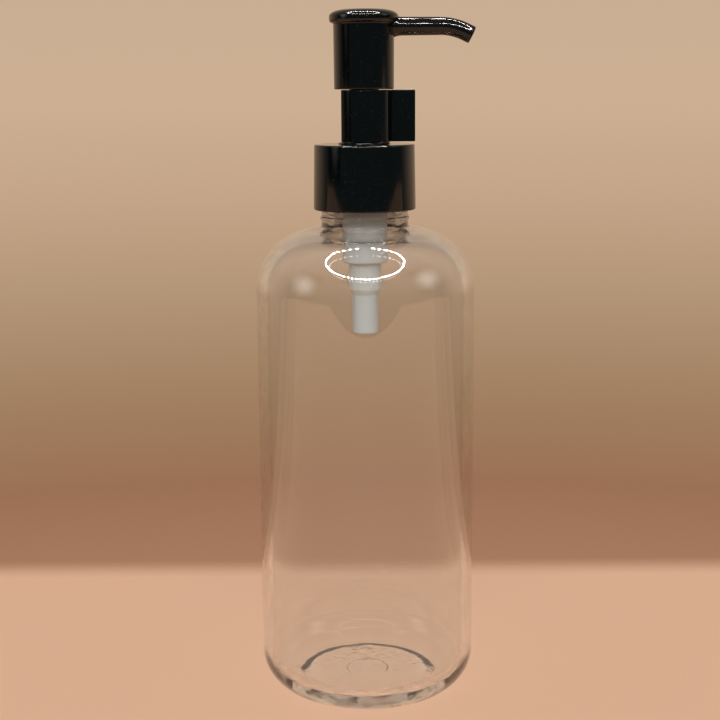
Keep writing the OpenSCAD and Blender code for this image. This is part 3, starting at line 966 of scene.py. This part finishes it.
class MakeHousing(bpy.types.Operator):
    """Make the stepped pump housing with its tail"""

    bl_idname = "soap_bottle.make_housing"
    bl_label = "Pump housing"

    def execute(self, context):
        settings = context.scene.soap_bottle
        size = settings.pump
        natural = finish_named("Natural moulding", settings.finish)
        tail, top, flange = low("pump_housing"), high("pump_housing"), radius("pump_housing")
        bore = tail_r = 3.75 * MM
        socket_r, valve_r = 2.6 * MM, 1.2 * MM
        socket_top = tail + 10.5 * MM
        seat = socket_top + 1.4 * MM
        lower = seat + 1 * MM
        step = lower + 7.8 * MM
        lower_r, upper_r = 4.65 * MM, size.chamber + 0.85 * MM
        flange_foot, chamber_foot = top - 1.2 * MM, step + 1 * MM
        outline = [
            (socket_r, tail, 0.2 * MM),
            (tail_r, tail, 0.8 * MM),
            (tail_r, lower - 1.6 * MM, 0.3 * MM),
            (lower_r, lower, 1.2 * MM),
            (lower_r, step, 0.4 * MM),
            (upper_r, step, 0.7 * MM),
            (upper_r, flange_foot, 0.2 * MM),
            (flange, flange_foot, 0.15 * MM),
            (flange, top, 0.15 * MM),
            (size.chamber, top, 0.1 * MM),
            (size.chamber, chamber_foot, 0.2 * MM),
            (bore, chamber_foot, 0.2 * MM),
            (bore, low("ball_cage"), 0),
            (3.2 * MM, low("ball_cage"), 0.1 * MM),
            (valve_r, seat, 0.1 * MM),
            (valve_r, socket_top, 0.1 * MM),
            (socket_r, socket_top, 0.1 * MM),
        ]
        housing = turned("pump_barrel", outline, natural, segments=128)
        settle(housing, "pump_core", "natural_plastic", "pump_housing")
        return {"FINISHED"}


def band(inner, outer, open_at):
    """The outline of a C-shaped band that is open towards -X."""
    return arc_points(outer, -open_at, open_at) + arc_points(inner, open_at, -open_at)


class MakeClip(bpy.types.Operator):
    """Make the C-shaped lock clip with its finger tab"""

    bl_idname = "soap_bottle.make_clip"
    bl_label = "Lock clip"

    def execute(self, context):
        settings = context.scene.soap_bottle
        size = settings.pump
        black = finish_named("Gloss black moulding", settings.finish)
        foot, top = low("lock_clip"), high("lock_clip")
        outer, reach = radius("lock_clip"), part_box("lock_clip")[1][0]
        half_tab = size.tab / 2
        open_at = math.pi - size.clip_mouth
        tab_at = math.asin(half_tab / outer)
        wall = [
            *arc_points(outer, -open_at, -tab_at),
            (reach, -half_tab),
            (reach, half_tab),
            *arc_points(outer, tab_at, open_at),
            *arc_points(outer - size.clip_wall, open_at, -open_at),
        ]
        clip = prism("lock_clip_body", wall, foot, top, black, 0.25 * MM)
        grip_in = size.stem + 0.1 * MM
        grip_out = grip_in + 1 * MM
        grip = prism("grip", band(grip_in, grip_out, open_at), foot, top, black, 0.2 * MM)
        middle, half_web = (foot + top) / 2, 0.5 * MM
        overlap, web_short = 0.2 * MM, 0.01
        web_out = outer - size.clip_wall + overlap
        web_in = grip_out - overlap
        web = prism(
            "web", band(web_in, web_out, open_at - web_short), middle - half_web, middle + half_web,
            black, 0.15 * MM,
        )
        parts = [grip, web]
        rib = [(web_in, -half_web), (web_out, -half_web), (web_out, half_web), (web_in, half_web)]
        side_turn, edge_turn = math.radians(75), open_at - math.radians(7)
        for turn in (side_turn, TURN - side_turn, edge_turn, -edge_turn):
            spun = [tuple(Matrix.Rotation(turn, 2) @ Vector(point)) for point in rib]
            parts.append(prism("rib", spun, foot, top, black, 0.15 * MM))
        settle(join(clip, *parts), "lock_clip", "black_plastic", "lock_clip")
        return {"FINISHED"}


class MakeSpring(bpy.types.Operator):
    """Make the return spring with its closed end coils"""

    bl_idname = "soap_bottle.make_spring"
    bl_label = "Spring"

    def execute(self, context):
        settings = context.scene.soap_bottle
        wire = settings.pump.spring_wire
        coils = settings.pump.spring_coils
        foot, top = low("spring"), high("spring")
        dead = wire * 1.02
        rise = (top - foot - wire - 2 * dead) / (coils - 2)

        def height(t):
            lower = dead * min(t, 1)
            upper = dead * max(0.0, t - (coils - 1))
            return foot + wire / 2 + lower + rise * min(max(t - 1, 0), coils - 2) + upper

        points = helix(radius("spring") - wire / 2, coils, HELIX_STEPS, height)
        steel = finish_named("Drawn steel", settings.finish)
        spring = tube("return_spring", [(p, wire / 2) for p in points], steel, sides=12)
        settle(spring, "pump_core", "steel", "spring")
        return {"FINISHED"}


class FinishInnerPieces(bpy.types.Operator):
    """Give the stem, rod, piston, ball, ball cage and gasket their finishes"""

    bl_idname = "soap_bottle.finish_inner_pieces"
    bl_label = "Inner pieces"

    def execute(self, context):
        finish = context.scene.soap_bottle.finish
        finishes = {
            "stem": "Gloss black moulding",
            "piston_rod": "Natural moulding",
            "ball_cage": "Natural moulding",
            "piston": "Soft seal",
            "gasket": "Soft seal",
            "inlet_ball": "Drawn steel",
        }
        for node, name in finishes.items():
            paint(node, finish_named(name, finish))
        return {"FINISHED"}


# Stage


def pale_floor(colour, far_edge):
    """The floor's matt finish, which fades out along its far edge."""
    material, nodes = new_material("Pale floor")
    grain = noise(nodes, 900, 2)
    fade_length = 22 * MM
    fade = rise(nodes, own_coordinate(nodes, "Y"), far_edge, far_edge - fade_length)
    shader = nodes.add(
        "ShaderNodeBsdfPrincipled",
        {
            "Base Color": colour,
            "Roughness": 0.7,
            "Alpha": fade,
            "Normal": bump(nodes, grain, 0.05, 0.05 * MM),
        },
    )
    show(nodes, shader)
    return material


def lamp_glow(strength):
    """The plain glow of the ring's lamps."""
    material, nodes = new_material("Ring lamp")
    glow = nodes.add("ShaderNodeEmission", {"Color": (1, 0.97, 0.93, 1), "Strength": strength})
    show(nodes, glow)
    return material


def window_glow(strength):
    """A window that is brightest at its middle and fades out towards its edges."""
    material, nodes = new_material("Window")
    place = nodes.add("ShaderNodeTexCoord").outputs["Generated"]
    middle = (0.5, 0.5, 0.5)
    away = nodes.add("ShaderNodeVectorMath", {0: place, 1: middle}, operation="DISTANCE")
    fade = rise(nodes, away.outputs["Value"], 0.55, 0.05)
    colour = blend(nodes, fade, (0, 0, 0, 1), (1, 0.98, 0.95, 1))
    glow = nodes.add("ShaderNodeEmission", {"Color": colour, "Strength": strength})
    show(nodes, glow)
    return material


class MakeStage(bpy.types.Operator):
    """Make the floor, the room, the lights, the windows and the camera"""

    bl_idname = "soap_bottle.make_stage"
    bl_label = "Stage"

    def make_floor(self, size):
        """A level floor that ends a little way behind the bottle."""
        reach = 3.0
        corners = [
            (-reach, -size.floor_front, 0),
            (reach, -size.floor_front, 0),
            (reach, size.floor_back, 0),
            (-reach, size.floor_back, 0),
        ]
        floor = mesh_object("floor", corners, faces=[(0, 1, 2, 3)])
        floor.data.materials.append(pale_floor(size.floor_colour, size.floor_back))

    def make_sky(self):
        """Soft light from all round: a peach backdrop behind the bottle, a dim room elsewhere."""
        world = bpy.data.worlds.new("Soft room")
        bpy.context.scene.world = world
        world.use_nodes = True
        world.node_tree.nodes.clear()
        nodes = Nodes(world.node_tree)
        direction = nodes.add("ShaderNodeTexCoord").outputs["Generated"]
        parts = nodes.add("ShaderNodeSeparateXYZ", {0: direction})
        height, depth = (Value(nodes, parts.outputs[axis]) for axis in "ZY")
        backdrop = nodes.add(
            "ShaderNodeValToRGB",
            {"Fac": height * 0.5 + 0.5},
            stops=[
                (0.333, (0.39, 0.20, 0.115, 1)),
                (0.363, (0.328, 0.165, 0.091, 1)),
                (0.391, (0.356, 0.212, 0.117, 1)),
                (0.426, (0.44, 0.292, 0.178, 1)),
                (0.461, (0.546, 0.371, 0.246, 1)),
                (0.4955, (0.61, 0.434, 0.296, 1)),
                (0.54, (0.58, 0.42, 0.29, 1)),
                (0.70, (0.50, 0.39, 0.30, 1)),
                (1.0, (0.22, 0.20, 0.18, 1)),
            ],
        )
        walls = nodes.add(
            "ShaderNodeValToRGB",
            {"Fac": height * 0.5 + 0.5},
            stops=[
                (0.54, (0.055, 0.075, 0.078, 1)),
                (0.72, (0.32, 0.27, 0.22, 1)),
                (1.0, (0.22, 0.20, 0.18, 1)),
            ],
        )
        behind = rise(nodes, depth, -0.05, 0.6)
        room = blend(nodes, behind, walls.outputs[0], backdrop.outputs[0])
        glow = nodes.add("ShaderNodeBackground", {"Color": room, "Strength": 1.0})
        nodes.add("ShaderNodeOutputWorld", {"Surface": glow.outputs[0]})

    def make_ring(self, size):
        """Small lamps on a ring, above and in front of the bottle and facing its shoulder."""
        aim = Vector((0, -27 * MM, 130 * MM))
        towards = Vector((0, -math.cos(size.ring_height), math.sin(size.ring_height)))
        spin = towards.to_track_quat("Z", "Y").to_matrix().to_4x4()
        place = Matrix.Translation(aim + towards * size.ring_distance) @ spin
        sides = 12
        angles = [TURN * i / sides for i in range(sides)]
        lamp = size.ring_lamp
        disc = [(size.ring_radius + lamp * math.cos(a), lamp * math.sin(a), 0) for a in angles]
        ring = mesh_object("ring_light", disc, faces=[tuple(range(sides))])
        run_tree(
            ring,
            tree_named("Spokes", spokes_tree),
            {"Count": size.ring_count, "Start": 0.0, "Material": lamp_glow(size.ring_strength)},
        )
        ring.data.transform(place)
        self.show_in_gloss(ring)

    def show_in_gloss(self, lamp):
        """Leaves a lamp to be seen in reflections and through the clear bottle's walls only."""
        lamp.visible_camera = False
        lamp.visible_diffuse = False

    def make_window(self, name, turn, lift, strength):
        """A soft window at a compass turn from the front and an elevation, seen from the shoulder."""
        across, up, away, shoulder = 0.3, 0.38, 1.0, 0.125
        corners = [(-across, -up, 0), (across, -up, 0), (across, up, 0), (-across, up, 0)]
        window = mesh_object(name, corners, faces=[(0, 1, 2, 3)])
        level = math.cos(lift)
        towards = Vector((math.sin(turn) * level, -math.cos(turn) * level, math.sin(lift)))
        spin = towards.to_track_quat("Z", "Y").to_matrix().to_4x4()
        window.data.transform(Matrix.Translation(towards * away + Vector((0, 0, shoulder))) @ spin)
        window.data.materials.append(window_glow(strength))
        self.show_in_gloss(window)

    def make_light(self, name, tilt, spread, strength):
        """An even soft light that leaves no mirror image of its own."""
        light = bpy.data.lights.new(name, "SUN")
        light.energy = strength
        light.angle = spread
        light.color = (1.0, 0.985, 0.97)
        source = bpy.data.objects.new(name, light)
        source.rotation_euler = (tilt, 0, 0)
        source.visible_glossy = False
        source.visible_transmission = False
        bpy.context.collection.objects.link(source)

    def make_camera(self, size):
        """The camera: level with the closure, looking a little down."""
        data = bpy.data.cameras.new("camera")
        data.lens = 70
        data.sensor_width = 36
        data.clip_start = 0.01
        camera = bpy.data.objects.new("camera", data)
        tilt = Matrix.Rotation(math.pi / 2 - size.camera_pitch, 4, "X")
        roll = Matrix.Rotation(math.radians(-0.4), 4, "Z")
        aside = -1.65 * MM
        spot = Matrix.Translation((aside, -size.camera_distance, size.camera_height))
        camera.matrix_world = spot @ tilt @ roll
        bpy.context.collection.objects.link(camera)
        bpy.context.scene.camera = camera

    def execute(self, context):
        size = context.scene.soap_bottle.stage
        self.make_floor(size)
        self.make_sky()
        self.make_ring(size)
        self.make_window("left_window", math.radians(-72), math.radians(19), size.window_strength)
        self.make_window("right_window", math.radians(76), math.radians(26), size.window_strength)
        self.make_light("overhead", math.radians(-5), math.radians(70), size.overhead_strength)
        self.make_light("front_fill", math.radians(52), math.radians(60), size.fill_strength)
        self.make_camera(size)
        context.scene.view_settings.view_transform = "Standard"
        # The clear walls let light straight through, so nothing is focused on the floor
        context.scene.cycles.caustics_refractive = False
        context.scene.cycles.caustics_reflective = False
        return {"FINISHED"}


STEPS = (
    MakeBottle,
    MakeClosure,
    MakeHead,
    MakeCollar,
    MakeHousing,
    MakeClip,
    MakeSpring,
    FinishInnerPieces,
    MakeStage,
)


class SoapBottlePanel(bpy.types.Panel):
    """Lists the steps that make the bottle"""

    bl_idname = "VIEW3D_PT_soap_bottle"
    bl_label = "Soap Bottle"
    bl_space_type = "VIEW_3D"
    bl_region_type = "UI"
    bl_category = "Soap Bottle"

    def draw(self, context):
        for step in STEPS:
            self.layout.operator(step.bl_idname)


SETTINGS = (BottleSettings, PumpSettings, FinishSettings, StageSettings, SoapBottleSettings)


def register():
    for kind in (*SETTINGS, *STEPS, SoapBottlePanel):
        bpy.utils.register_class(kind)
    bpy.types.Scene.soap_bottle = PointerProperty(type=SoapBottleSettings)


def unregister():
    del bpy.types.Scene.soap_bottle
    for kind in reversed((*SETTINGS, *STEPS, SoapBottlePanel)):
        bpy.utils.unregister_class(kind)


def main():
    register()
    for step in STEPS:
        group, name = step.bl_idname.split(".")
        getattr(getattr(bpy.ops, group), name)()
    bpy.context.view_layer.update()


if __name__ == "__main__":
    main()
